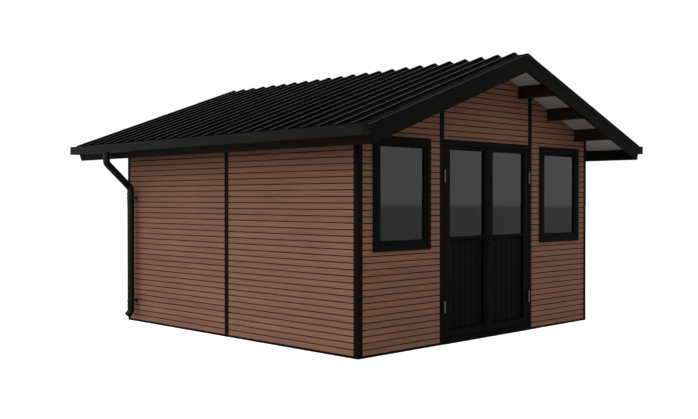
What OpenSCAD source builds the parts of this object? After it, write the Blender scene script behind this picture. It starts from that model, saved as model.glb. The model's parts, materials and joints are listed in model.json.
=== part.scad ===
// Garden shed with a square plan, horizontal grooved cladding between dark posts,
// a low gable roof of ribbed sheet on plumb purlins, box gutters with downpipes,
// two fixed windows and a pair of outward-opening half-glazed doors.
// Millimetres. Origin: middle of the outline at ground level, front at -Y, +Z up.

/* [Walls] */
// Width of the walls across the front
wall_w = 4000; // [3900:10:4400]
// Depth of the walls from front to back
wall_d = 4000; // [3800:10:4400]
// Post width on each face
post = 60; // [52:2:70]
// Thickness of the wall planks
plank_t = 28; // [20:1:32]
// How far the planks sit behind the post face
plank_in = 6; // [4:1:12]
// Height of the dark base rail under the planks
base_h = 25; // [20:1:40]
// Height of the floor's top
floor_z = 56; // [50:1:60]

/* [Roof] */
// Roof pitch in degrees
pitch = 20; // [18:1:23]
// Height of the roof's underside at the ridge
ridge_z = 2950; // [2930:5:3050]
// Overhang of the roof past the front wall
gable_front = 500; // [440:10:560]
// Overhang of the roof past the back wall
gable_back = 540; // [440:10:560]
// Distance from the side wall to the eaves board's outer face
eave_over = 367; // [330:1:400]
// Thickness of the roof panel's core
panel_t = 42; // [30:1:60]
// Distance between roof ribs
rib_pitch = 217.4; // [216:0.2:219]
// Number of roof ribs
rib_n = 23; // [22:1:23]
// Distance of the rearmost rib from the back edge of the roof
rib_first = 85; // [80:1:95]
// Height of the roof ribs
rib_h = 30; // [20:1:40]
// Thickness of the roof sheet
sheet_t = 2; // [1.5:0.5:3]
// How far the sheet runs past the eaves board
sheet_over = 35; // [25:1:40]
// Depth of a purlin at its shallow side
purlin_h = 140; // [110:2:150]
// Width of a purlin
purlin_w = 58; // [45:1:70]
// Distance between purlins across the plan
purlin_gap = 582; // [560:2:590]
// Depth of the boards round the roof's edge below its underside
board_h = 132; // [120:1:140]
// Thickness of the boards round the roof's edge
board_t = 26; // [20:1:32]

/* [Doors] */
// Clear width between the two door posts
door_gap = 1504; // [1480:2:1540]
// Height of the underside of the door head
head_z = 2040; // [2030:5:2050]
// Height of the top of the door head
head_top = 2100; // [2095:1:2110]
// Height of the bottom edge of the door leaves
sill_z = 66; // [64:1:72]
// Door leaf thickness
leaf_t = 45; // [42:1:50]
// Height of the middle of the rail under the glass
rail_z = 1083; // [1060:1:1120]
// Height of the top of the door glass
glass_top = 2004; // [1980:1:2008]
// Distance of the doors' meeting line from the middle of the opening
meet_x = -50; // [-60:1:0]

/* [Windows] */
// Distance of a window's centre from the middle of the front
win_x = 1385; // [1370:1:1400]
// Outer width of a window
win_w = 826; // [780:2:880]
// Outer height of a window
win_h = 1104; // [1000:2:1150]
// Height of the bottom of a window
win_z = 988; // [940:1:1000]

/* [Drainage] */
// Distance from the side wall to the gutter's outer face
gut_out = 455; // [440:1:470]
// Height of the gutter's bottom
gut_z = 2038; // [2030:1:2045]
// Height of the gutter's outer face
gut_h = 95; // [90:1:105]
// Downpipe radius
pipe_r = 37; // [33:1:40]

/* [Hidden] */

hw = wall_w / 2;
tanp = tan(pitch);
cosp = cos(pitch);
sinp = sin(pitch);
gut_front = 5;                          // gutter past the front edge of the roof
gut_back = 35;                          // gutter past the back edge of the roof
roof_l = gable_front + wall_d + gable_back;
yr0 = -(roof_l + gut_front + gut_back) / 2 + gut_front;   // front edge of the roof
yr1 = yr0 + roof_l;                     // back edge of the roof
y0 = yr0 + gable_front;                 // front wall's face
y1 = y0 + wall_d;                       // back wall's face
ym = (y0 + y1) / 2;                     // middle of the side walls
xe = hw + eave_over;                    // eaves board's outer face, at the underside line
slope_l = xe / cosp;                    // the same, measured down the slope
yg0 = yr0 - gut_front;
yg1 = yr1 + gut_back;
black = [0.055, 0.055, 0.058];
brown = [0.40, 0.26, 0.20];
steel = [0.10, 0.10, 0.105];
pane = [0.72, 0.76, 0.78, 0.45];
seat = 0.03;                            // working gap where a sloping piece sits on another

// Height of the roof's underside over a point x across the plan
function under(x) = ridge_z - tanp * abs(x);

// A shape drawn for the right half, mirrored for the left
module side(s) { if (s > 0) children(); else mirror([1, 0, 0]) children(); }

// A flat outline in X and Z, carried from front a to back b
module prism(a, b, pts) { translate([0, b, 0]) rotate([90, 0, 0]) linear_extrude(b - a) polygon(pts); }

// A block from x0 to x1 that stands on z0 and ends at the roof's underside, on one side of the ridge
module bay(x0, x1, a, b, z0) { prism(a, b, [[x0, z0], [x1, z0], [x1, under(x1) - seat], [x0, under(x0) - seat]]); }

// ---- ground and floor ----
module base_rails() {
    color(black) for (s = [-1, 1]) side(s) {
        translate([door_gap / 2 + post, y0 + 4, 0]) cube([hw - door_gap / 2 - 2 * post, 44, base_h]);
        translate([post / 2, y1 - 48, 0]) cube([hw - post * 1.5, 44, base_h]);
        translate([hw - 48, y0 + post, 0]) cube([44, ym - post / 2 - y0 - post, base_h]);
        translate([hw - 48, ym + post / 2, 0]) cube([44, y1 - post - ym - post / 2, base_h]);
    }
}
module floor() {
    color([0.36, 0.28, 0.22]) {
        translate([-hw + post, y0 + post, floor_z - 20]) cube([wall_w - 2 * post, wall_d - 2 * post, 20]);
        for (i = [-4:4]) translate([i * 430 - 25, y0 + 80, 0]) cube([50, wall_d - 160, floor_z - 20]);
    }
}

// ---- posts ----
module corner_post(sx, sy) {
    r = 22;
    color(black) translate([0, sy < 0 ? y0 : y1, 0]) mirror([0, sy > 0 ? 1 : 0, 0]) side(sx) intersection() {
        translate([hw - post, 0, 0]) union() {
            translate([0, r, 0]) cube([post, post - r, 3000]);
            cube([post - r, post, 3000]);
            translate([post - r, r, 0]) cylinder(r = r, h = 3000, $fn = 48);
        }
        bay(hw - post - 10, hw + 10, -10, post + 10, 0);
    }
}
module side_posts() { color(black) for (s = [-1, 1]) side(s) bay(hw - post, hw, ym - post / 2, ym + post / 2, 0); }
module back_post() {
    color(black) translate([-post / 2, y1 - post, 0]) cube([post, post, beam_z]);
}
module door_post(s) { color(black) side(s) bay(door_gap / 2, door_gap / 2 + post, y0, y0 + post, 0); }

// ---- walls ----
module side_wall(s) {
    x1 = hw - plank_in;
    color(brown) side(s) {
        bay(x1 - plank_t, x1, y0 + post, ym - post / 2, base_h);
        bay(x1 - plank_t, x1, ym + post / 2, y1 - post, base_h);
    }
}
module back_wall() {
    color(brown) for (s = [-1, 1]) side(s) difference() {
        bay(post / 2, hw - post, y1 - plank_in - plank_t, y1 - plank_in, base_h);
        purlin_slots();
    }
}
module front_wall(s) {
    color(brown) side(s) difference() {
        bay(door_gap / 2 + post, hw - post, y0 + plank_in, y0 + plank_in + plank_t, base_h);
        translate([win_x - win_w / 2 + 14, y0 - 50, win_z + 14]) cube([win_w - 28, 200, win_h - 28]);
        purlin_slots();
    }
}
module front_wall_over_door() {
    x1 = door_gap / 2;
    color(brown) difference() {
        prism(y0 + plank_in, y0 + plank_in + plank_t,
            [[-x1, head_top], [x1, head_top], [x1, under(x1) - seat], [0, ridge_z - seat], [-x1, under(x1) - seat]]);
        translate([-purlin_w / 2, y0 - 50, beam_z]) cube([purlin_w, 200, 400]);
        for (s = [-1, 1]) side(s) purlin_slots();
    }
}

// ---- roof ----
beam_z = ridge_z - purlin_h + 10;       // underside of the ridge beam
// A purlin's inner face and underside
function purlin_x(i) = i * purlin_gap - 30;
function purlin_z(i) = under(purlin_x(i)) - purlin_h;
module purlin_slots() { for (i = [1:3]) translate([purlin_x(i), -4000, purlin_z(i)]) cube([purlin_w, 8000, 400]); }
module ridge_beam() {
    h = purlin_w / 2;
    color([0.13, 0.08, 0.06]) prism(yr0 + board_t, yr1 - board_t, [[-h, beam_z], [h, beam_z], [h, under(h) - seat], [0, ridge_z - seat], [-h, under(h) - seat]]);
}
module purlins() {
    color([0.13, 0.08, 0.06]) for (s = [-1, 1], i = [1:3]) side(s)
        bay(purlin_x(i), purlin_x(i) + purlin_w, yr0 + board_t, yr1 - board_t, purlin_z(i));
}
// Places children so that X runs down the slope from the ridge and Z is square to it
module on_slope(s) { side(s) translate([0, 0, ridge_z]) rotate([0, pitch, 0]) children(); }
panel_x = xe - (board_t + seat) * cosp; // lower edge of the roof panel, at the underside line
module roof_panel(s) {
    color([0.74, 0.74, 0.73]) side(s) prism(yr0 + board_t, yr1 - board_t,
        [[0, ridge_z], [0, ridge_z + panel_t / cosp],
            [panel_x + panel_t * sinp, under(panel_x) + panel_t * cosp], [panel_x, under(panel_x)]]);
}
// The sheet's line across the ribs as [along the ridge, height], a little inside the roof's edges
function sheet_line(o) = concat([[yr0 + 3, o]],
    [for (i = [rib_n - 1:-1:0]) let (y = yr1 - rib_first - i * rib_pitch)
        each [[y - 38, o], [y - 14, o + rib_h], [y + 14, o + rib_h], [y + 38, o]]],
    [[yr1 - 3, o]]);
module roof_sheet(s) {
    low = sheet_line(seat);
    top = sheet_line(seat + sheet_t);
    pts = concat(low, [for (i = [len(top) - 1:-1:0]) top[i]]);
    color(steel) side(s) intersection() {
        translate([0, 0, ridge_z]) rotate([0, pitch, 0]) translate([-30, 0, panel_t]) rotate([90, 0, 90])
            linear_extrude(slope_l + sheet_over + 30) polygon(pts);
        translate([0, yr0 - 50, 1500]) cube([3000, roof_l + 100, 2000]);
    }
}
module barge_boards(s) {
    // Right-hand board as a flat outline: mitred at the ridge, cut square to the slope at the eaves
    color(black) for (a = [yr0, yr1 - board_t]) side(s) prism(a, a + board_t,
        [[0, ridge_z - board_h / cosp], [xe - board_h * sinp, under(xe) - board_h * cosp],
            [xe + panel_t * sinp, under(xe) + panel_t * cosp], [0, ridge_z + panel_t / cosp]]);
}
module verge_line(z0, z1, a, b) {
    // Inverted V between two heights square to the slope, ending level with the eaves board
    xa = xe + z0 * sinp;
    xb = xe + z1 * sinp;
    prism(a, b, [[0, ridge_z + z0 / cosp], [xa, under(xe) + z0 * cosp], [xb, under(xe) + z1 * cosp],
        [0, ridge_z + z1 / cosp], [-xb, under(xe) + z1 * cosp], [-xa, under(xe) + z0 * cosp]]);
}
module verge_trims() {
    top = panel_t + sheet_t + 2 * seat;
    color(steel) for (e = [[yr0 - 4, yr0, yr0 + 40], [yr1, yr1 + 4, yr1 - 40]]) {
        verge_line(-8, top + 2.5, e[0], e[1]);
        verge_line(top, top + 2.5, min(e[0], e[2]), max(e[1], e[2]));
        prism(min(e[0], e[2]), max(e[1], e[2]), let (z = ridge_z + (top + 2) / cosp)
            [[-90, z - 90 * tanp], [0, z], [90, z - 90 * tanp], [90, z - 90 * tanp + 3], [0, z + 24], [-90, z - 90 * tanp + 3]]);
    }
}
module eaves_boards() {
    color(black) for (s = [-1, 1]) on_slope(s) translate([slope_l - board_t, yr0 + board_t, -board_h])
        cube([board_t, roof_l - 2 * board_t, board_h + panel_t]);
}

// ---- drainage ----
// The eaves board's outer face at height z
function face_x(z) = xe + (z - under(xe)) * tanp;
module gutter(s) {
    w = 3;
    gx = hw + gut_out;
    zt = under(xe) + panel_t * cosp - 2;
    outer = [[face_x(gut_z) + 1, gut_z], [gx, gut_z], [gx, gut_z + gut_h], [gx - w, gut_z + gut_h], [gx - w, gut_z + w],
        [face_x(gut_z + w) + 1 + w, gut_z + w], [face_x(zt) + 1 + w, zt], [face_x(zt) + 1, zt]];
    cap = [[face_x(gut_z) + 1, gut_z], [gx, gut_z], [gx, gut_z + gut_h], [face_x(gut_z) + 60, gut_z + gut_h - 12], [face_x(zt) + 1, zt]];
    color(steel) side(s) {
        prism(yg0, yg1, outer);
        prism(yg0, yg0 + w, cap);
        prism(yg1 - w, yg1, cap);
    }
}
pipe_y = y0 + 3800;
pipe_x = hw + 90;
out_x = hw + 400;
// Straight round run between two points of the plane at pipe_y
module run(a, b, r) {
    d = b - a;
    translate([a[0], pipe_y, a[1]]) rotate([0, atan2(d[0], d[1]), 0]) cylinder(r = r, h = norm(d), $fn = 48);
}
module knee(a, r) { translate([a[0], pipe_y, a[1]]) sphere(r = r, $fn = 48); }
module downpipes() {
    a = [out_x, gut_z];
    b = [out_x, 1915];
    c = [pipe_x, 1620];
    d = [pipe_x, 130];
    e = [pipe_x + 45, 84];
    color(steel) for (s = [-1, 1]) side(s) {
        run(b, a, pipe_r);
        run(c, b, pipe_r);
        run(d, c, pipe_r);
        run(e, d, pipe_r);
        for (p = [b, c, d]) knee(p, pipe_r + 1.5);
        // Wall brackets
        for (z = [245, 1488]) translate([hw - plank_in, pipe_y - 9, z]) cube([pipe_x - pipe_r + 4 - hw + plank_in, 18, 24]);
    }
}

// ---- windows ----
// Rectangular ring in X and Z, t deep and b wide
module ring(w, h, t, b) {
    difference() {
        cube([w, t, h]);
        translate([b, -1, b]) cube([w - 2 * b, t + 2, h - 2 * b]);
    }
}
module window_frame(s) {
    color(black) side(s) translate([win_x - win_w / 2, y0, win_z]) {
        translate([0, -13, 0]) ring(win_w, win_h, plank_in + 13, 50);
        translate([14, 0, 14]) ring(win_w - 28, win_h - 28, 62, 36);
        translate([48, -6, 48]) ring(win_w - 96, win_h - 96, 44, 44);
    }
}
module window_glass(s) {
    color(pane) side(s) translate([win_x - win_w / 2 + 92, y0 + 10, win_z + 92]) cube([win_w - 184, 16, win_h - 184]);
}

// ---- doors ----
pin_x = door_gap / 2 - 2;               // hinge axes
pin_y = y0 - 12;
// Meeting edge of the left or right leaf, measured towards its own hinges
function leaf_in(s) = s * meet_x + 5;
leaf_out = door_gap / 2 - 7;            // hinge edge of each leaf
meet = 75;                              // edge of the glass and panel nearest the meeting line
hang = 658 + door_gap / 2 - 752;        // inner edge of the hinge stile
glass_z0 = rail_z + 10;
panel_z0 = 145;
panel_z1 = rail_z - 10;
hinge_z = [325, 1665];
module door_head() { color(black) translate([-door_gap / 2, y0, head_z]) cube([door_gap, post, head_top - head_z]); }
module door_threshold() { color(black) translate([-door_gap / 2, y0 - 4, 0]) cube([door_gap, post + 4, sill_z - 6]); }
module leaf_frame(s) {
    color(black) side(s) difference() {
        translate([leaf_in(s), y0, sill_z]) cube([leaf_out - leaf_in(s), leaf_t, head_z - 6 - sill_z]);
        translate([meet, y0 - 1, glass_z0]) cube([hang - meet, leaf_t + 2, glass_top - glass_z0]);
        translate([meet, y0 - 1, panel_z0]) cube([hang - meet, leaf_t + 2, panel_z1 - panel_z0]);
    }
}
module leaf_panel(s) { color(black) side(s) translate([meet, y0 + 27, panel_z0]) cube([hang - meet, 12, panel_z1 - panel_z0]); }
module leaf_glass(s) { color(pane) side(s) translate([meet, y0 + 20, glass_z0]) cube([hang - meet, 16, glass_top - glass_z0]); }
module fixed_hinges() {
    color(steel) for (s = [-1, 1], z = hinge_z) side(s) translate([pin_x, pin_y, z]) {
        cylinder(r = 4, h = 120, $fn = 32);
        for (k = [0, 81]) translate([0, 0, k]) {
            cylinder(r = 9, h = 39, $fn = 32);
            cube([8, 12, 39]);
            translate([0, 9, 0]) cube([34, 3, 39]);
        }
    }
}
module leaf_hinges(s) {
    color(steel) side(s) for (z = hinge_z) translate([pin_x, pin_y, z + 40]) difference() {
        union() {
            cylinder(r = 9, h = 40, $fn = 32);
            translate([-8, 0, 0]) cube([8, 12, 40]);
            translate([-38, 9, 0]) cube([38, 3, 40]);
        }
        translate([0, 0, -1]) cylinder(r = 4.05, h = 42, $fn = 32);
    }
}
module door_handle() {
    // Upright pull on a back plate, on the right leaf's meeting stile
    color([0.03, 0.03, 0.03]) translate([17, y0, 0]) {
        translate([-12, -8, 985]) cube([24, 8, 125]);
        for (z = [1005, 1090]) translate([0, -2, z]) rotate([90, 0, 0]) cylinder(r = 6, h = 32, $fn = 32);
        translate([0, -34, 992]) cylinder(r = 7, h = 110, $fn = 32);
    }
}

base_rails();
floor();
corner_post(-1, -1);  // corner_post_front_left
corner_post(1, -1);  // corner_post_front_right
corner_post(-1, 1);  // corner_post_back_left
corner_post(1, 1);  // corner_post_back_right
side_posts();
back_post();
door_post(-1);  // door_post_left
door_post(1);  // door_post_right
side_wall(-1);  // left_wall
side_wall(1);  // right_wall
back_wall();
front_wall(-1);  // front_wall_left
front_wall(1);  // front_wall_right
front_wall_over_door();
ridge_beam();
purlins();
roof_panel(-1);  // roof_panel_left
roof_panel(1);  // roof_panel_right
roof_sheet(-1);  // roof_sheet_left
roof_sheet(1);  // roof_sheet_right
barge_boards(-1);  // barge_boards_left
barge_boards(1);  // barge_boards_right
verge_trims();
eaves_boards();
gutter(-1);  // gutter_left
gutter(1);  // gutter_right
downpipes();
window_frame(-1);  // window_frame_left
window_frame(1);  // window_frame_right
window_glass(-1);  // window_glass_left
window_glass(1);  // window_glass_right
door_head();
door_threshold();
fixed_hinges();
leaf_frame(-1);  // left_door_frame
leaf_panel(-1);  // left_door_panel
leaf_glass(-1);  // left_door_glass
leaf_hinges(-1);  // left_door_hinges
door_handle();
leaf_frame(1);  // right_door_frame
leaf_panel(1);  // right_door_panel
leaf_glass(1);  // right_door_glass
leaf_hinges(1);  // right_door_hinges
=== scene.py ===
import json
import math
import random

import bpy
from mathutils import Matrix, Vector


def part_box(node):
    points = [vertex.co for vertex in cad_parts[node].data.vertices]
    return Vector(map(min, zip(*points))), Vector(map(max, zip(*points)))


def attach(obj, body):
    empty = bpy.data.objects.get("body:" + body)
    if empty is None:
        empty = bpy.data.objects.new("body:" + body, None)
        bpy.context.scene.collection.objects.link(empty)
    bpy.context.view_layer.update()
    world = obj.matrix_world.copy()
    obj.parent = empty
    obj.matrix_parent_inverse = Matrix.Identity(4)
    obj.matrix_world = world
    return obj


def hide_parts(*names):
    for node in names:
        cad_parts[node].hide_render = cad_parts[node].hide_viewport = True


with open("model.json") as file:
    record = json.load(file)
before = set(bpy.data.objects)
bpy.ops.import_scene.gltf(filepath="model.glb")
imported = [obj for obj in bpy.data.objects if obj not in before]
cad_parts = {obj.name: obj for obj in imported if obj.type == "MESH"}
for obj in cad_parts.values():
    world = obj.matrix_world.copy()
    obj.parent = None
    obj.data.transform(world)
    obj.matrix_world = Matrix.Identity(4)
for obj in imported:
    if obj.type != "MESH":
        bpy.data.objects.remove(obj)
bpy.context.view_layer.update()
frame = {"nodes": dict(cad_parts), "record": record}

nodes = frame["nodes"]
rnd = random.Random(7)

# ------------------------------------------------------------------ sizes, from the frame
lo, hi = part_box("corner_post_front_left")
Y0 = lo.y if hasattr(lo, "y") else lo[1]                    # front wall's post face
HW = -(lo.x if hasattr(lo, "x") else lo[0])                 # half the width of the walls
Y1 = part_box("corner_post_back_left")[1][1]                  # back wall's post face
POST = 0.060
PLANK_IN = 0.006
PLANK_T = 0.028
BASE = 0.025
PITCH = math.radians(20)
T, C, S = math.tan(PITCH), math.cos(PITCH), math.sin(PITCH)
RIDGE = 2.950
YR0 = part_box("barge_boards_left")[0][1]
YR1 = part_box("barge_boards_left")[1][1]
XE = 2.367
PANEL = 0.042
SHEET = 0.002
BT = 0.026
YM = (Y0 + Y1) / 2
DG = 0.752
WX, WW, WH, WZ = 1.385, 0.826, 1.104, 0.988
HEAD_TOP = 2.100


def under(x):
    return RIDGE - T * abs(x)


# ------------------------------------------------------------------ materials
def new_mat(name):
    m = bpy.data.materials.new(name)
    m.use_nodes = True
    nt = m.node_tree
    bsdf = nt.nodes["Principled BSDF"]
    return m, nt, bsdf


def link(nt, a, b):
    nt.links.new(a, b)


def node(nt, kind, **props):
    n = nt.nodes.new(kind)
    for k, v in props.items():
        setattr(n, k, v)
    return n


def ramp(nt, fac, stops):
    r = node(nt, "ShaderNodeValToRGB")
    e = r.color_ramp.elements
    while len(e) > 1:
        e.remove(e[-1])
    e[0].position, e[0].color = stops[0][0], (*stops[0][1], 1)
    for p, c in stops[1:]:
        q = e.new(p)
        q.color = (*c, 1)
    link(nt, fac, r.inputs["Fac"])
    return r.outputs["Color"]


def coords(nt, scale, rot=(0, 0, 0)):
    tc = node(nt, "ShaderNodeTexCoord")
    mp = node(nt, "ShaderNodeMapping")
    mp.inputs["Scale"].default_value = scale
    mp.inputs["Rotation"].default_value = rot
    link(nt, tc.outputs["Object"], mp.inputs["Vector"])
    return mp.outputs["Vector"]


def noise(nt, vec, scale, detail=4.0, rough=0.55):
    n = node(nt, "ShaderNodeTexNoise")
    n.inputs["Scale"].default_value = scale
    n.inputs["Detail"].default_value = detail
    n.inputs["Roughness"].default_value = rough
    link(nt, vec, n.inputs["Vector"])
    return n.outputs["Fac"]


def mix_rgb(nt, fac, a, b, blend="MIX"):
    m = node(nt, "ShaderNodeMix", data_type="RGBA", blend_type=blend)
    if isinstance(fac, float):
        m.inputs[0].default_value = fac
    else:
        link(nt, fac, m.inputs[0])
    for i, v in ((6, a), (7, b)):
        if isinstance(v, tuple):
            m.inputs[i].default_value = (*v, 1)
        else:
            link(nt, v, m.inputs[i])
    return m.outputs[2]


def bump(nt, height, strength, dist):
    b = node(nt, "ShaderNodeBump")
    b.inputs["Strength"].default_value = strength
    b.inputs["Distance"].default_value = dist
    link(nt, height, b.inputs["Height"])
    return b.outputs["Normal"]


def cladding(name, tint, along):
    """Wood-plastic board: streaks along the board, a slightly different tone on each one."""
    m, nt, b = new_mat(name)
    stretch = (1.2, 1.2, 46.0) if along == "h" else (46.0, 1.2, 1.2)
    v = coords(nt, stretch)
    streak = noise(nt, v, 1.6, 6.0, 0.62)
    v2 = coords(nt, (3.0, 3.0, 160.0))
    fine = noise(nt, v2, 1.9, 3.0, 0.5)
    v3 = coords(nt, (0.9, 0.9, 0.9))
    cloud = noise(nt, v3, 1.3, 2.0, 0.5)
    base = ramp(nt, streak, [(0.30, tuple(c * 0.80 for c in tint)), (0.52, tint), (0.75, tuple(min(1, c * 1.16) for c in tint))])
    # one tone a board: its height in whole boards
    tc = node(nt, "ShaderNodeTexCoord")
    sep = node(nt, "ShaderNodeSeparateXYZ")
    link(nt, tc.outputs["Object"], sep.inputs[0])
    off = node(nt, "ShaderNodeMath", operation="SUBTRACT")
    off.inputs[1].default_value = 0.0195
    link(nt, sep.outputs["Z"], off.inputs[0])
    div = node(nt, "ShaderNodeMath", operation="DIVIDE")
    div.inputs[1].default_value = 0.062
    link(nt, off.outputs[0], div.inputs[0])
    flo = node(nt, "ShaderNodeMath", operation="FLOOR")
    link(nt, div.outputs[0], flo.inputs[0])
    wn = node(nt, "ShaderNodeTexWhiteNoise", noise_dimensions="1D")
    link(nt, flo.outputs[0], wn.inputs["W"])
    tone = ramp(nt, wn.outputs["Value"], [(0.0, (0.93, 0.92, 0.91)), (1.0, (1.05, 1.05, 1.06))])
    c1 = mix_rgb(nt, 1.0, base, tone, "MULTIPLY")
    fine_c = ramp(nt, fine, [(0.35, (0.93, 0.92, 0.91)), (0.65, (1.04, 1.04, 1.04))])
    c2 = mix_rgb(nt, 1.0, c1, fine_c, "MULTIPLY")
    cl = ramp(nt, cloud, [(0.3, (0.95, 0.95, 0.95)), (0.7, (1.04, 1.04, 1.04))])
    c3 = mix_rgb(nt, 1.0, c2, cl, "MULTIPLY")
    link(nt, c3, b.inputs["Base Color"])
    b.inputs["Roughness"].default_value = 0.82
    b.inputs["Specular IOR Level"].default_value = 0.25
    link(nt, bump(nt, fine, 0.25, 0.0006), b.inputs["Normal"])
    return m


def coated(name, color, rough, spec, scale=900.0, strength=0.05):
    """Powder-coated metal: fine orange-peel and a faint cloud in the gloss."""
    m, nt, b = new_mat(name)
    v = coords(nt, (1, 1, 1))
    n = noise(nt, v, scale, 2.0, 0.5)
    cloud = noise(nt, v, 2.3, 3.0, 0.5)
    col = ramp(nt, cloud, [(0.3, tuple(c * 0.88 for c in color)), (0.7, tuple(c * 1.12 for c in color))])
    link(nt, col, b.inputs["Base Color"])
    r = node(nt, "ShaderNodeMapRange")
    r.inputs["To Min"].default_value = rough - 0.04
    r.inputs["To Max"].default_value = rough + 0.05
    link(nt, cloud, r.inputs["Value"])
    link(nt, r.outputs["Result"], b.inputs["Roughness"])
    b.inputs["Specular IOR Level"].default_value = spec
    link(nt, bump(nt, n, strength, 0.0002), b.inputs["Normal"])
    return m


def timber(name, dark, light, axis, rough=0.7, fine=34.0):
    m, nt, b = new_mat(name)
    sc = {"x": (0.9, fine, fine), "y": (fine, 0.9, fine), "z": (fine, fine, 0.9)}[axis]
    v = coords(nt, sc)
    g = noise(nt, v, 1.0, 7.0, 0.6)
    g2 = noise(nt, coords(nt, tuple(k * 3 for k in sc)), 1.0, 3.0, 0.5)
    col = ramp(nt, g, [(0.32, dark), (0.68, light)])
    col = mix_rgb(nt, 0.35, col, ramp(nt, g2, [(0.3, dark), (0.7, light)]))
    link(nt, col, b.inputs["Base Color"])
    b.inputs["Roughness"].default_value = rough
    b.inputs["Specular IOR Level"].default_value = 0.3
    link(nt, bump(nt, g, 0.3, 0.0008), b.inputs["Normal"])
    return m


CLAD = cladding("cladding", (0.345, 0.168, 0.108), "h")
# painted shade: the groove faces between the boards get a red-brown far darker than the boards themselves
GROOVE_SHADE, nt, b = new_mat("cladding_groove_painted_shade")
g = noise(nt, coords(nt, (2, 2, 60)), 1.5, 3.0)
link(nt, ramp(nt, g, [(0.3, (0.036, 0.0060, 0.0015)), (0.7, (0.058, 0.0115, 0.0035))]), b.inputs["Base Color"])
b.inputs["Roughness"].default_value = 0.9
b.inputs["Specular IOR Level"].default_value = 0.1
FRAME = coated("dark_frame", (0.0054, 0.0054, 0.0046), 0.55, 0.06)
# painted shade: a near-black copy of the frame coat for the V joints of the door boards and the beads round panes and
# panels
REVEAL_SHADE = coated("reveal_painted_shade", (0.0018, 0.0018, 0.0018), 0.60, 0.03)
ROOF = coated("roof_coat", (0.0050, 0.0050, 0.0044), 0.48, 0.06)
# painted shade: a darker copy of the roof coat for the pans between the ribs, the foot of each flank and the sheet's
# underside
VALLEY_SHADE = coated("roof_valley_painted_shade", (0.0034, 0.0034, 0.0028), 0.50, 0.02)
# painted shade: an almost black copy of the roof coat for the upper rib flanks and the verge trim's top plate and
# saddle
FLANK_SHADE = coated("roof_flank_painted_shade", (0.0004, 0.0004, 0.0004), 0.60, 0.0)
# painted highlight: a far lighter copy of the roof coat for the rib shoulders, the verge trim's rolled edge and the
# gutter lip and straps
EDGE_HIGHLIGHT = coated("roof_edge_painted_highlight", (0.040, 0.040, 0.037), 0.45, 0.15)
HINGE = coated("hinge_steel", (0.16, 0.16, 0.15), 0.42, 0.5)
GUTTER = coated("gutter_coat", (0.0092, 0.0092, 0.0084), 0.48, 0.09)
EAVES = coated("eaves_coat", (0.0105, 0.0092, 0.0076), 0.52, 0.08)
PIPE = coated("downpipe_coat", (0.0042, 0.0042, 0.0038), 0.40, 0.30)
HARDWARE = coated("hardware", (0.0020, 0.0020, 0.0020), 0.40, 0.12)
STEEL = coated("screw_steel", (0.30, 0.30, 0.31), 0.35, 0.5)
LINING = coated("roof_lining", (0.62, 0.615, 0.605), 0.55, 0.3, 400.0, 0.04)
STAIN = timber("stained_timber", (0.012, 0.0050, 0.0032), (0.026, 0.0115, 0.0075), "y", 0.7)
FLOORM = timber("floor_timber", (0.16, 0.10, 0.062), (0.30, 0.20, 0.13), "x", 0.62, 26.0)
RUBBER, nt, b = new_mat("seal")
g = noise(nt, coords(nt, (1, 1, 1)), 300.0, 2.0)
link(nt, ramp(nt, g, [(0.3, (0.0008, 0.0008, 0.0008)), (0.7, (0.0016, 0.0016, 0.0016))]), b.inputs["Base Color"])
b.inputs["Roughness"].default_value = 0.75
b.inputs["Specular IOR Level"].default_value = 0.02

GLASS = bpy.data.materials.new("window_glass")
GLASS.use_nodes = True
nt = GLASS.node_tree
nt.nodes.clear()
out = node(nt, "ShaderNodeOutputMaterial")
mixs = node(nt, "ShaderNodeMixShader")
fr = node(nt, "ShaderNodeFresnel")
fr.inputs["IOR"].default_value = 1.9
tr = node(nt, "ShaderNodeBsdfTransparent")
tr.inputs["Color"].default_value = (0.50, 0.50, 0.50, 1)
gl = node(nt, "ShaderNodeBsdfGlossy")
gl.inputs["Color"].default_value = (0.95, 0.96, 0.97, 1)
gl.inputs["Roughness"].default_value = 0.045
link(nt, fr.outputs[0], mixs.inputs[0])
link(nt, tr.outputs[0], mixs.inputs[1])
link(nt, gl.outputs[0], mixs.inputs[2])
link(nt, mixs.outputs[0], out.inputs[0])

BY_SLOT = {"cladding": CLAD, "dark_frame": FRAME, "roof_sheet": ROOF, "roof_lining": LINING, "stained_timber": STAIN,
           "floor_timber": FLOORM, "window_glass": GLASS, "hardware": HARDWARE}
for sp in frame["record"]["subparts"]:
    o = nodes[sp["node"]]
    mat = BY_SLOT[sp["material_slot"]]
    if sp["node"].startswith("gutter") or sp["node"] == "downpipes":
        mat = GUTTER
    if sp["node"] == "eaves_boards":
        mat = EAVES
    if sp["node"].endswith("hinges"):
        mat = HINGE
    if not o.material_slots:
        o.data.materials.append(mat)
    for s in o.material_slots:
        s.material = mat


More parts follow.
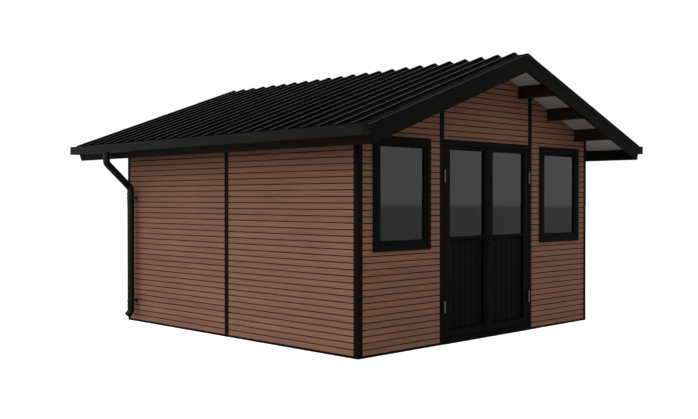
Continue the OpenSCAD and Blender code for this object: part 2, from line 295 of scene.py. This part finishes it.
# ------------------------------------------------------------------ mesh helpers
class Soup:
    """Collects closed prisms and writes them as one mesh."""

    def __init__(self):
        self.v, self.f, self.m = [], [], []

    def poly_prism(self, a, b, mats, cap=0):
        """a and b are matching rings of points. mats has one index for each side."""
        n = len(a)
        k = len(self.v)
        self.v += [tuple(p) for p in a] + [tuple(p) for p in b]
        for i in range(n):
            j = (i + 1) % n
            self.f.append((k + i, k + j, k + n + j, k + n + i))
            self.m.append(mats[i] if not isinstance(mats, int) else mats)
        self.f.append(tuple(k + i for i in reversed(range(n))))
        self.m.append(cap)
        self.f.append(tuple(k + n + i for i in range(n)))
        self.m.append(cap)

    def box(self, x0, y0, z0, x1, y1, z1, mat=0):
        a = [(x0, y0, z0), (x1, y0, z0), (x1, y0, z1), (x0, y0, z1)]
        b = [(x, y1, z) for x, _, z in a]
        self.poly_prism(a, b, mat, mat)

    def turned(self, centre, axis, prof, seg=24, mat=0):
        """Closed lathe of (distance along axis, radius) points."""
        axis = Vector(axis).normalized()
        u = axis.orthogonal().normalized()
        w = axis.cross(u)
        k = len(self.v)
        c = Vector(centre)
        rows = []
        for d, r in prof:
            row = []
            for i in range(seg):
                t = 2 * math.pi * i / seg
                row.append(len(self.v))
                self.v.append(tuple(c + axis * d + (u * math.cos(t) + w * math.sin(t)) * r))
            rows.append(row)
        for a, b in zip(rows, rows[1:]):
            for i in range(seg):
                j = (i + 1) % seg
                self.f.append((a[i], a[j], b[j], b[i]))
                self.m.append(mat)
        self.f.append(tuple(reversed(rows[0])))
        self.m.append(mat)
        self.f.append(tuple(rows[-1]))
        self.m.append(mat)

    def make(self, name, mats, smooth=None):
        me = bpy.data.meshes.new(name)
        me.from_pydata(self.v, [], self.f)
        for m in mats:
            me.materials.append(m)
        me.polygons.foreach_set("material_index", self.m)
        me.update()
        import bmesh
        bm = bmesh.new()
        bm.from_mesh(me)
        bmesh.ops.recalc_face_normals(bm, faces=bm.faces)
        bm.to_mesh(me)
        bm.free()
        if smooth is not None:
            me.polygons.foreach_set("use_smooth", [True] * len(me.polygons))
            me.set_sharp_from_angle(angle=math.radians(smooth))
        o = bpy.data.objects.new(name, me)
        bpy.context.scene.collection.objects.link(o)
        return o


def clip_z(prof, z0, z1):
    """The (depth, z, material) outline between two heights."""
    def half(pts, keep, z):
        res = []
        for i, p in enumerate(pts):
            q = pts[(i + 1) % len(pts)]
            a, b = keep(p[1]), keep(q[1])
            if a:
                res.append(p)
            if a != b:
                t = (z - p[1]) / (q[1] - p[1])
                res.append((p[0] + (q[0] - p[0]) * t, z, p[2] if a else 0))
        return res
    pts = half(prof, lambda z: z >= z0 - 1e-9, z0) if min(p[1] for p in prof) < z0 - 1e-9 else prof
    if len(pts) > 2 and max(p[1] for p in pts) > z1 + 1e-9:
        pts = half(pts, lambda z: z <= z1 + 1e-9, z1)
    return pts


PITCH_B = 0.0623


def board(z):
    """Outline of one board whose lower edge is at z: (depth, height, material of the side that starts here)."""
    t, p = PLANK_T, PITCH_B
    return [(0.0000, z + 0.0062, 0), (0.0000, z + p - 0.0062, 0), (0.0004, z + p - 0.0052, 0), (0.0014, z + p - 0.0045, 1), (0.0100, z + p - 0.0045, 1),
            (0.0100, z + p, 0), (t - 0.0015, z + p, 0), (t, z + p - 0.0015, 0), (t, z + 0.0015, 0), (t - 0.0015, z, 0), (0.0100, z, 1),
            (0.0100, z + 0.0045, 1), (0.0014, z + 0.0045, 0), (0.0004, z + 0.0052, 0)]


def wall(name, node_name, z_first, cells, place):
    """cells: (z0, z1, s_low(z), s_high(z)). place(s, depth, z) gives the point."""
    soup = Soup()
    top = max(c[1] for c in cells)
    rows = int((top - z_first) / PITCH_B) + 2
    for i in range(-1, rows):
        z = z_first + i * PITCH_B
        for z0, z1, sl, sh in cells:
            a0, a1 = max(z, z0), min(z + PITCH_B, z1)
            if a1 - a0 < 0.0008:
                continue
            pts = clip_z(board(z), a0, a1)
            if len(pts) < 3:
                continue
            if sh((a0 + a1) / 2) - sl((a0 + a1) / 2) < 0.004:
                continue
            fr = [place(sl(p[1]), p[0], p[1]) for p in pts]
            to = [place(max(sh(p[1]), sl(p[1])), p[0], p[1]) for p in pts]
            soup.poly_prism(fr, to, [p[2] for p in pts])
    # the groove faces (material 1) carry the painted shade of the groove material
    o = soup.make(name, [CLAD, GROOVE_SHADE])
    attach(o, "shed")
    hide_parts(*([node_name] if isinstance(node_name, str) else node_name))
    return o


def const(v):
    return lambda z: v


def slope_x(z):
    return max((RIDGE - z) / T, 0.0)


ZS, ZF = 0.0231 - 0.0045, 0.0178 - 0.0045            # a joint's height on the side and front walls
for s, nm in ((-1, "left"), (1, "right")):
    xf = s * (HW - PLANK_IN)
    cells = []
    zt = under(HW - PLANK_IN)
    for a, b_ in ((Y0 + POST, YM - POST / 2), (YM + POST / 2, Y1 - POST)):
        cells.append((BASE, zt, const(a), const(b_)))
    wall(nm + "_wall_boards", nm + "_wall", ZS, cells, lambda q, d, z, s=s, xf=xf: (xf - s * d, q, z))

# back wall: two bays and the gable above, either side of the middle post
xa, xb = POST / 2, HW - POST
zb = under(xb)
back_cells = [(BASE, zb, const(xa), const(xb)), (zb, RIDGE - T * xa, const(xa), slope_x)]
back_cells += [(z0, z1, (lambda z, f=f_hi: -f(z)), (lambda z, f=f_lo: -f(z))) for z0, z1, f_lo, f_hi in back_cells]
wall("back_wall_boards", "back_wall", ZS, back_cells, lambda q, d, z: (q, Y1 - PLANK_IN - d, z))

# front walls
yf = Y0 + PLANK_IN
for s, nm in ((-1, "left"), (1, "right")):
    xa, xb = DG + POST, HW - POST
    zb = under(xb)
    w0, w1 = WX - WW / 2 + 0.014, WX + WW / 2 - 0.014
    h0, h1 = WZ + 0.014, WZ + WH - 0.014
    cells = [(BASE, h0, const(xa), const(xb)),
             (h0, h1, const(xa), const(w0)), (h0, h1, const(w1), const(xb)),
             (h1, zb, const(xa), const(xb)), (zb, under(xa), const(xa), slope_x)]
    if s < 0:
        cells = [(z0, z1, (lambda z, f=f_hi: -f(z)), (lambda z, f=f_lo: -f(z))) for z0, z1, f_lo, f_hi in cells]
    wall("front_wall_boards_" + nm, "front_wall_" + nm, ZF, cells, lambda q, d, z: (q, yf + d, z))
zc = under(DG)
wall("gable_boards_over_door", "front_wall_over_door", ZF,
     [(HEAD_TOP, zc, const(-DG), const(DG)), (zc, RIDGE, (lambda z: -slope_x(z)), slope_x)], lambda q, d, z: (q, yf + d, z))


# ------------------------------------------------------------------ edges on the CAD pieces that stay
def soften(name, width, seg=2, angle=40):
    o = nodes[name]
    m = o.modifiers.new("edges", "BEVEL")
    m.width = width
    m.segments = seg
    m.limit_method = "ANGLE"
    m.angle_limit = math.radians(angle)
    m.harden_normals = False


for n_ in ("side_posts", "back_post", "door_post_left", "door_post_right", "door_head", "door_threshold",
           "window_frame_left", "window_frame_right", "left_door_frame", "right_door_frame", "base_rails"):
    soften(n_, 0.0018)
for n_ in ("barge_boards_left", "barge_boards_right", "eaves_boards", "ridge_beam", "purlins"):
    soften(n_, 0.002)

for n_ in ("barge_boards_right", "gutter_right", "eaves_boards"):
    nodes[n_].visible_glossy = False

# ------------------------------------------------------------------ roof sheets: ribs with rounded corners, cut plumb at the ridge
RIB_P, RIB_N, RIB_0, RIB_H = 0.2174, 23, 0.085, 0.030
RIBS = [YR1 - RIB_0 - i * RIB_P for i in range(RIB_N)]


# coat index of each strip: 0 the crown in the plain roof coat, 1 the pans and the foot of the flanks in painted shade,
# 2 the upper flanks in painted shade, 3 the rounded shoulders in painted highlight
RIB = ((-0.0400, 0.0, 1), (-0.0372, 0.0012, 1), (-0.0262, 0.0153, 2), (-0.0160, 0.0284, 3), (-0.0132, RIB_H, 3), (-0.0095, RIB_H, 0), (0.0095, RIB_H, 3),
       (0.0132, RIB_H, 3), (0.0160, 0.0284, 2), (0.0262, 0.0153, 1), (0.0372, 0.0012, 1), (0.0400, 0.0, 1))


def rib_line():
    """(along the ridge, height, coat of the strip that starts here)"""
    pts = [(YR0 + 0.003, 0.0, 1)]
    for y in reversed(RIBS):
        pts += [(y + dy, h, c) for dy, h, c in RIB]
    pts.append((YR1 - 0.003, 0.0, 1))
    return pts


def slope_pt(s, xs, y, zs):
    """A point from the distance down the slope and the height square to it."""
    return (s * (xs * C + zs * S), y, RIDGE - xs * S + zs * C)


SL = XE / C
for s, nm in ((-1, "left"), (1, "right")):
    soup = Soup()
    low = [(y, PANEL + h) for y, h, _ in rib_line()]
    coat = [c for _, _, c in rib_line()]
    top = [(y, z + SHEET) for y, z in low]
    v = []
    cols = [None] + [SL * k / 6 for k in range(1, 6)] + [SL + 0.035]
    rows = []
    for c in cols:
        ring = []
        for y, z in low + top[::-1]:
            xs = -z * S / C if c is None else c
            ring.append(len(soup.v))
            soup.v.append(slope_pt(s, xs, y, z))
        rows.append(ring)
    n = len(rows[0])
    for a, b_ in zip(rows, rows[1:]):
        for i in range(n):
            j = (i + 1) % n
            soup.f.append((a[i], a[j], b_[j], b_[i]))
            # the top face takes each strip's coat; the underside and the two long edges take material 1, the painted
            # shade of the valleys
            soup.m.append(coat[n - 2 - i] if n // 2 <= i < n - 1 else 1)
    k = len(low)
    for ring in (rows[0], rows[-1]):
        for i in range(k - 1):
            soup.f.append((ring[i], ring[i + 1], ring[n - 2 - i], ring[n - 1 - i]))
            soup.m.append(0)
    o = soup.make("roof_sheet_ribbed_" + nm, [ROOF, VALLEY_SHADE, FLANK_SHADE, EDGE_HIGHLIGHT], 35)
    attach(o, "shed")
    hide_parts("roof_sheet_" + nm)
    # screws with washers on the ribs over each purlin
    soup = Soup()
    nrm = Vector((s * S, 0, C))
    for xs in (0.581 / C, 1.163 / C, 1.745 / C, 2.300 / C):
        for y in RIBS:
            p = slope_pt(s, xs, y, PANEL + SHEET + RIB_H)
            soup.turned(p, nrm, [(-0.0005, 0.0085), (0.0012, 0.0085), (0.0016, 0.0070)], 12)
            soup.turned(p, nrm, [(0.0012, 0.0050), (0.0062, 0.0050), (0.0070, 0.0040)], 6)
    o = soup.make("roof_screws_" + nm, [ROOF], 30)
    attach(o, "shed")

# ------------------------------------------------------------------ verge trims: folded strip over the sheet's edge, folded cap at the ridge
tq = PANEL + SHEET + 0.0003
soup = Soup()
for e, ye in ((1, YR0), (-1, YR1)):
    # coats of the strips: 4 the frame coat on the face, 3 painted highlight on the rolled edge, 2 painted shade on the
    # top plate, 1 the valley's painted shade underneath
    prof = [(0.0, -0.008, 4), (-0.004, -0.008, 4), (-0.004, tq - 0.004, 3), (-0.004, tq + 0.0008, 3), (-0.0026, tq + 0.0022, 3), (0.0050, tq + 0.0022, 2), (0.0390, tq + 0.0022, 2),
            (0.0390, tq, 1), (0.0, tq, 1)]
    for s in (-1, 1):
        a = [slope_pt(s, -q * S / C, ye + e * y, q) for y, q, _ in prof]
        b_ = [slope_pt(s, SL, ye + e * y, q) for y, q, _ in prof]
        soup.poly_prism(a, b_, [c for _, _, c in prof])
        # saddle over the mitre
        cap = [(-0.004, tq + 0.0022), (0.0390, tq + 0.0022), (0.0390, tq + 0.0040), (-0.004, tq + 0.0040)]
        a = [slope_pt(s, -q * S / C, ye + e * y, q) for y, q in cap]
        b_ = [slope_pt(s, 0.090, ye + e * y, q) for y, q in cap]
        # the saddle carries the painted shade of the flank material
        soup.poly_prism(a, b_, 2, 2)
o = soup.make("verge_trims_folded", [ROOF, VALLEY_SHADE, FLANK_SHADE, EDGE_HIGHLIGHT, FRAME])
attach(o, "shed")
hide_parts("verge_trims")

# ------------------------------------------------------------------ door panels: upright boards with V joints
DX0, DX1 = 0.075, 0.658
PZ0, PZ1 = 0.145, 1.073
GZ0, GZ1 = 1.093, 2.004
for s, nm in ((-1, "left"), (1, "right")):
    soup = Soup()
    nb = 6
    w = (DX1 - DX0) / nb
    for i in range(nb):
        x0, x1 = DX0 + i * w, DX0 + (i + 1) * w
        yo, yi = Y0 + 0.027, Y0 + 0.039
        g = 0.0060
        out = [(x0, yi), (x0, yo + g), (x0 + 0.0016, yo + g), (x0 + 0.0048, yo), (x1 - 0.0048, yo), (x1 - 0.0016, yo + g), (x1, yo + g), (x1, yi)]
        a = [(s * x, y, PZ0) for x, y in out]
        b_ = [(s * x, y, PZ1) for x, y in out]
        # the V-joint faces (material 1) get the painted shade of the reveal material
        soup.poly_prism(a, b_, [0, 1, 1, 0, 1, 1, 0, 0])
    o = soup.make(nm + "_door_boards", [FRAME, REVEAL_SHADE])
    body = "door_" + nm
    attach(o, body)
    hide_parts(nm + "_door_panel")

    # beads round the pane, front and back, and round the panel
    soup = Soup()

    def beads(x0, x1, z0, z1, ya, yb, wid):
        """A mitred bead round an opening, from the pane's face ya out to yb."""
        prof = [(0.0, ya), (wid, ya), (wid, ya + (yb - ya) * 0.35), (wid * 0.35, yb), (0.0, yb)]
        corners = [(x0, z0, 1, 1), (x1, z0, -1, 1), (x1, z1, -1, -1), (x0, z1, 1, -1)]
        rings = [[(s * (cx + dx * q), y, cz + dz * q) for q, y in prof] for cx, cz, dx, dz in corners]
        for i in range(4):
            soup.poly_prism(rings[i], rings[(i + 1) % 4], 0)

    beads(DX0, DX1, GZ0, GZ1, Y0 + 0.0198, Y0 + 0.0015, 0.007)
    beads(DX0, DX1, GZ0, GZ1, Y0 + 0.0362, Y0 + 0.0440, 0.010)
    beads(DX0, DX1, PZ0, PZ1, Y0 + 0.0268, Y0 + 0.0030, 0.006)
    beads(DX0, DX1, PZ0, PZ1, Y0 + 0.0392, Y0 + 0.0440, 0.008)
    # the door beads carry painted shade
    o = soup.make(nm + "_door_beads", [REVEAL_SHADE])
    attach(o, body)

# hinges: folded plates, three knuckles, pin heads and screws
hx, hy = DG - 0.002, Y0 - 0.012
for s, nm in ((-1, "left"), (1, "right")):
    for who, spans, screws in (("shed", ((0.0, 0.039), (0.081, 0.120)), (0.010, 0.030, 0.090, 0.110)), ("door_" + nm, ((0.040, 0.080),), (0.050, 0.060, 0.070))):
        soup = Soup()
        e = 1 if who == "shed" else -1
        for hz in (0.325, 1.665):
            for z0, z1 in spans:
                soup.turned((s * hx, hy, hz + z0 + 0.0004), (0, 0, 1), [(0, 0.0084), (0.0006, 0.0090), (z1 - z0 - 0.0014, 0.0090), (z1 - z0 - 0.0008, 0.0084)], 24, 1)
                # folded plate from the knuckle to the face it is screwed to
                xa, xb = sorted((s * (hx + e * 0.001), s * (hx + e * 0.0075)))
                soup.box(xa, hy + 0.004, hz + z0 + 0.0006, xb, hy + 0.0118, hz + z1 - 0.0006, 0)
                xa, xb = sorted((s * (hx + e * 0.001), s * (hx + e * 0.034)))
                soup.box(xa, hy + 0.0092, hz + z0 + 0.0006, xb, hy + 0.0119, hz + z1 - 0.0006, 0)
            for z in screws:
                soup.turned((s * (hx + e * 0.024), hy + 0.0093, hz + z), (0, -1, 0), [(0, 0.0042), (0.0012, 0.0036), (0.0016, 0.0020)], 14, 0)
            if who == "shed":
                for z, d in ((0.1196, 1), (0.0004, -1)):
                    soup.turned((s * hx, hy, hz + z), (0, 0, d), [(0, 0.0060), (0.0020, 0.0060), (0.0034, 0.0040), (0.0038, 0.0015)], 20, 1)
        o = soup.make("hinges_" + nm + ("_fixed" if e > 0 else "_moving"), [FRAME, HINGE], 30)
        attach(o, who)
        if e < 0:
            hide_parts(nm + "_door_hinges")
        elif s > 0:
            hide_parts("fixed_hinges")

# seals in the gaps round the leaves
for who, parts in (("door_right", ((-0.0455, 0.001, 0.067, -0.0448, 0.044, 2.033),)), ("door_left", ((-0.7455, 0.001, 0.067, -0.7448, 0.044, 2.033),)),
                   ("shed", ((0.7514, 0.001, 0.067, 0.7522, 0.058, 2.039), (-0.7500, 0.003, 2.0394, 0.7500, 0.058, 2.0402)))):
    soup = Soup()
    for x0, y0_, z0, x1, y1_, z1 in parts:
        soup.box(x0, Y0 + y0_, z0, x1, Y0 + y1_, z1)
    o = soup.make("seals_" + who, [RUBBER])
    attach(o, who)

# cover strip down the right leaf's meeting stile
soup = Soup()
out = [(-0.0440, Y0 + 0.0005), (-0.0440, Y0 - 0.0020), (-0.0425, Y0 - 0.0035), (0.0285, Y0 - 0.0035), (0.0300, Y0 - 0.0020), (0.0300, Y0 + 0.0005)]
soup.poly_prism([(x, y, 0.072) for x, y in out], [(x, y, 2.030) for x, y in out], 0)
o = soup.make("meeting_cover_strip", [FRAME])
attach(o, "door_right")

# ------------------------------------------------------------------ windows: beads
for s, nm in ((-1, "left"), (1, "right")):
    soup = Soup()
    x0, x1 = WX - WW / 2 + 0.092, WX + WW / 2 - 0.092
    z0, z1 = WZ + 0.092, WZ + WH - 0.092
    beads(x0, x1, z0, z1, Y0 + 0.0098, Y0 - 0.0055, 0.008)
    beads(x0, x1, z0, z1, Y0 + 0.0262, Y0 + 0.0360, 0.012)
    # the window beads carry painted shade
    o = soup.make("window_beads_" + nm, [REVEAL_SHADE])
    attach(o, "shed")

# ------------------------------------------------------------------ floor boards
fl, fh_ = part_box("floor")
soup = Soup()
y = fl[1]
while y < fh_[1] - 0.01:
    y2 = min(y + 0.120, fh_[1])
    zt = fh_[2]
    x0, x1 = fl[0], fh_[0]
    out = [(y + 0.0015, zt - 0.020), (y2 - 0.0015, zt - 0.020), (y2 - 0.0015, zt - 0.0015), (y2 - 0.0030, zt), (y + 0.0030, zt), (y + 0.0015, zt - 0.0015)]
    # two lengths a row, with a staggered butt joint
    cut = x0 + (x1 - x0) * (0.35 + 0.3 * rnd.random())
    for xa, xb in ((x0, cut - 0.0008), (cut + 0.0008, x1)):
        soup.poly_prism([(xa, p, q) for p, q in out], [(xb, p, q) for p, q in out], 0)
    y = y2
for i in range(-4, 5):
    soup.box(i * 0.430 - 0.025, fl[1] + 0.020, 0.0, i * 0.430 + 0.025, fh_[1] - 0.020, fh_[2] - 0.0201, 0)
o = soup.make("floor_boards", [FLOORM])
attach(o, "shed")
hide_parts("floor")


# ------------------------------------------------------------------ downpipes: bent tube, sockets, clips, open shoe
def rounded_path(pts, radii, step=math.radians(7)):
    """A plane path of (x, z) points with its corners rounded."""
    res = [Vector(pts[0])]
    for i in range(1, len(pts) - 1):
        p, a, b_ = Vector(pts[i]), Vector(pts[i - 1]), Vector(pts[i + 1])
        u, v_ = (a - p).normalized(), (b_ - p).normalized()
        ang = math.pi - u.angle(v_)
        t = radii[i - 1] * math.tan(ang / 2)
        bis = (u + v_).normalized()
        c = p + bis * (radii[i - 1] / math.cos(ang / 2))
        st = p + u * t
        r0 = st - c
        sgn = 1 if (r0.x * v_.y - r0.y * v_.x) > 0 else -1
        n_ = max(2, int(math.ceil(ang / step)))
        for k in range(n_ + 1):
            q = sgn * ang * k / n_
            res.append(Vector((c.x + r0.x * math.cos(q) - r0.y * math.sin(q), c.y + r0.x * math.sin(q) + r0.y * math.cos(q))))
    res.append(Vector(pts[-1]))
    return res


def ring_at(s, p, d, r, y, seg):
    """A circle square to direction d in the X and Z plane."""
    nx, nz = -d.y, d.x
    return [(s * (p.x + nx * r * math.cos(t)), y + r * math.sin(t), p.y + nz * r * math.cos(t)) for t in (2 * math.pi * k / seg for k in range(seg))]


def tube(soup, s, path, radii_along, y, seg=28):
    rows = []
    for i, p in enumerate(path):
        if i == 0:
            d = path[1] - p
        elif i == len(path) - 1:
            d = p - path[i - 1]
        else:
            d = (path[i + 1] - p).normalized() + (p - path[i - 1]).normalized()
        d = d.normalized()
        k = len(soup.v)
        soup.v += ring_at(s, p, d, radii_along[i], y, seg)
        rows.append([k + j for j in range(seg)])
    for a, b_ in zip(rows, rows[1:]):
        for i in range(seg):
            j = (i + 1) % seg
            soup.f.append((a[i], a[j], b_[j], b_[i]))
            soup.m.append(0)
    return rows


PIPE_R, PIPE_Y, PX, OX = 0.0410, Y0 + 3.800, HW + 0.076, HW + 0.400
for s, nm in ((-1, "left"), (1, "right")):
    soup = Soup()
    path = rounded_path([(OX, 2.038), (OX, 1.915), (PX, 1.620), (PX, 0.130), (PX + 0.046, 0.083)], [0.060, 0.060, 0.040])
    rows = tube(soup, s, path, [PIPE_R] * len(path), PIPE_Y)
    # the open shoe: lip, inside wall and a dark end well up the pipe
    end, prev = path[-1], path[-2]
    d = (end - prev).normalized()
    k = len(soup.v)
    inner = [(end, PIPE_R - 0.0025), (end - d * 0.018, PIPE_R - 0.0025)]
    rr = [rows[-1]]
    for p, r in inner:
        k = len(soup.v)
        soup.v += ring_at(s, p, d, r, PIPE_Y, 28)
        rr.append([k + j for j in range(28)])
    for a, b_ in zip(rr, rr[1:]):
        for i in range(28):
            j = (i + 1) % 28
            soup.f.append((a[i], a[j], b_[j], b_[i]))
            soup.m.append(0)
    soup.f.append(tuple(rr[-1]))
    soup.m.append(0)
    soup.f.append(tuple(reversed(rows[0])))
    soup.m.append(0)
    # sockets
    for p, q in (((OX, 2.038), (OX, 1.990)), ((PX, 1.570), (PX, 1.525)), ((PX, 0.215), (PX, 0.170))):
        d = (Vector(q) - Vector(p)).normalized()
        soup.turned((s * p[0], PIPE_Y, p[1]), (s * d.x, 0, d.y), [(0, PIPE_R - 0.001), (0.0005, PIPE_R + 0.0014), (0.040, PIPE_R + 0.0014), (0.0405, PIPE_R - 0.001)], 28)
    # clips: band, ears with a bolt, stand-off and back plate on the wall
    for z in (0.245, 1.488):
        soup.turned((s * PX, PIPE_Y, z), (0, 0, 1), [(0, PIPE_R), (0, PIPE_R + 0.0030), (0.024, PIPE_R + 0.0030), (0.024, PIPE_R)], 28)
        for e in (-1, 1):
            ya, yb = sorted((PIPE_Y + e * (PIPE_R + 0.001), PIPE_Y + e * (PIPE_R + 0.024)))
            xa, xb = sorted((s * (PX - 0.005), s * (PX + 0.003)))
            soup.box(xa, ya, z, xb, yb, z + 0.024)
            soup.turned((s * (PX + 0.002), PIPE_Y + e * (PIPE_R + 0.014), z + 0.012), (s, 0, 0), [(0, 0.006), (0.005, 0.006), (0.0055, 0.004)], 6)
        xa, xb = sorted((s * (HW - PLANK_IN - 0.001), s * (PX - PIPE_R + 0.002)))
        soup.box(xa, PIPE_Y - 0.006, z + 0.004, xb, PIPE_Y + 0.006, z + 0.020)
        xa, xb = sorted((s * (HW - PLANK_IN - 0.001), s * (HW - PLANK_IN + 0.004)))
        soup.box(xa, PIPE_Y - 0.022, z - 0.014, xb, PIPE_Y + 0.022, z + 0.038)
    o = soup.make("downpipe_" + nm, [PIPE], 40)
    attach(o, "shed")
    if s > 0:
        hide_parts("downpipes")

# ------------------------------------------------------------------ gutters: rolled lip and straps
GZ, GH, GX = 2.038, 0.095, HW + 0.455
for s, nm in ((-1, "left"), (1, "right")):
    soup = Soup()
    g0, g1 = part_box("gutter_left")[0][1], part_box("gutter_left")[1][1]
    for t in range(7):
        yy = g0 + 0.25 + (g1 - g0 - 0.5) * t / 6
        xa, xb = sorted((s * (GX - 0.003), s * (GX - 0.066)))
        soup.box(xa, yy - 0.012, GZ + GH - 0.0115, xb, yy + 0.012, GZ + GH - 0.0085)
    soup.turned((s * (GX - 0.0065), g0 + 0.001, GZ + GH - 0.0035), (0, 1, 0), [(0, 0.0034), (g1 - g0 - 0.002, 0.0034)], 12)
    # the lip and straps get the painted highlight of the roof edge material
    o = soup.make("gutter_lip_and_straps_" + nm, [EDGE_HIGHLIGHT], 40)
    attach(o, "shed")

# ------------------------------------------------------------------ camera, in the place the view was taken from
cam_d = bpy.data.cameras.new("camera")
cam_d.sensor_width = 36.0
cam_d.lens = 36.0 * 918.91 / 698.0
cam_d.clip_end = 500.0
cam = bpy.data.objects.new("camera", cam_d)
cam.location = (-8.0402, Y0 - 5.9708, 1.4918)
cam.rotation_euler = (math.radians(90 - 0.669), 0.0, math.radians(-44.767))
bpy.context.scene.collection.objects.link(cam)
bpy.context.scene.camera = cam

# ------------------------------------------------------------------ floor and light
me = bpy.data.meshes.new("stage_floor")
R = 150.0
me.from_pydata([(-R, -R, 0), (R, -R, 0), (R, R, 0), (-R, R, 0)], [], [(0, 1, 2, 3)])
floor_o = bpy.data.objects.new("stage_floor", me)
bpy.context.scene.collection.objects.link(floor_o)
fm = bpy.data.materials.new("stage_floor")
fm.use_nodes = True
nt = fm.node_tree
nt.nodes.clear()
out = node(nt, "ShaderNodeOutputMaterial")
seen = node(nt, "ShaderNodeAddShader")
d1 = node(nt, "ShaderNodeBsdfDiffuse")
d1.inputs["Color"].default_value = (0.80, 0.80, 0.80, 1)
e1 = node(nt, "ShaderNodeEmission")
e1.inputs["Strength"].default_value = 0.90
d2 = node(nt, "ShaderNodeBsdfDiffuse")
d2.inputs["Color"].default_value = (0.36, 0.36, 0.36, 1)
lp = node(nt, "ShaderNodeLightPath")
mx = node(nt, "ShaderNodeMixShader")
link(nt, d1.outputs[0], seen.inputs[0])
link(nt, e1.outputs[0], seen.inputs[1])
link(nt, lp.outputs["Is Camera Ray"], mx.inputs[0])
link(nt, d2.outputs[0], mx.inputs[1])
link(nt, seen.outputs[0], mx.inputs[2])
link(nt, mx.outputs[0], out.inputs[0])
me.materials.append(fm)

world = bpy.data.worlds.new("studio")
bpy.context.scene.world = world
world.use_nodes = True
nt = world.node_tree
nt.nodes.clear()
out = node(nt, "ShaderNodeOutputWorld")
bg = node(nt, "ShaderNodeBackground")
bg2 = node(nt, "ShaderNodeBackground")
bg2.inputs["Color"].default_value = (1, 1, 1, 1)
bg2.inputs["Strength"].default_value = 1.02
lp = node(nt, "ShaderNodeLightPath")
mx = node(nt, "ShaderNodeMixShader")
tc = node(nt, "ShaderNodeTexCoord")
dotn = node(nt, "ShaderNodeVectorMath", operation="DOT_PRODUCT")
dotn.inputs[1].default_value = Vector((-0.93, 0.16, 0.33)).normalized()
link(nt, tc.outputs["Generated"], dotn.inputs[0])
mr = node(nt, "ShaderNodeMapRange", interpolation_type="SMOOTHSTEP")
mr.inputs["From Min"].default_value = 0.15
mr.inputs["From Max"].default_value = 0.95
mr.inputs["To Min"].default_value = 0.50
mr.inputs["To Max"].default_value = 1.25
link(nt, dotn.outputs["Value"], mr.inputs["Value"])
bg.inputs["Color"].default_value = (1, 1, 1, 1)
link(nt, mr.outputs["Result"], bg.inputs["Strength"])
link(nt, lp.outputs["Is Camera Ray"], mx.inputs[0])
link(nt, bg.outputs[0], mx.inputs[1])
link(nt, bg2.outputs[0], mx.inputs[2])
link(nt, mx.outputs[0], out.inputs[0])

bpy.context.scene.view_settings.view_transform = "Standard"
